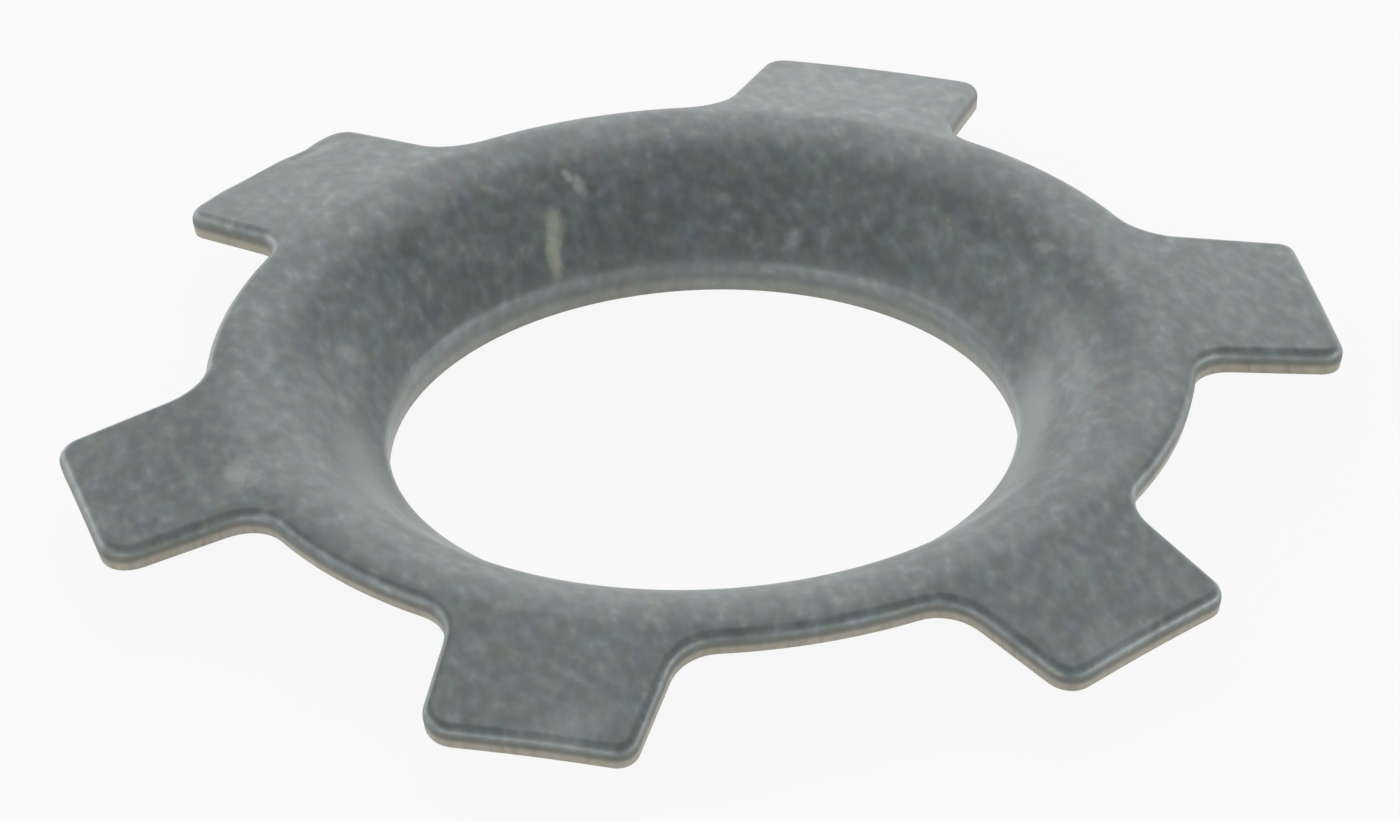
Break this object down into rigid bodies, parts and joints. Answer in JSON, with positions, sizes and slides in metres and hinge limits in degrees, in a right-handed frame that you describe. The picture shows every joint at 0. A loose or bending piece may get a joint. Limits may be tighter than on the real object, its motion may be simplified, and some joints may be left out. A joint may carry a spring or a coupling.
{
  "type": "self-locking internal retaining ring",
  "caption": "Drawn sheet retaining ring with a dished centre hole and straight prongs that slope down around the rim to grip the wall of a plain bore.",
  "frame": {"origin": "on the axis of the centre hole, at the level of the hole's lower edge, which is the lowest part of the ring", "axes": "+Z along the hole's axis, from the dished centre towards the crest of the ring; one prong points along +X"},
  "size_m": [0.0206, 0.0192, 0.0018],
  "materials": {
    "spring_steel": "dull matte grey steel with a faint green-grey tint and fine mottling, as stamped, with small scratches and pale spots"
  },
  "bodies": {
    "root": {"retaining_ring": "spring_steel"}
  },
  "joints": []
}
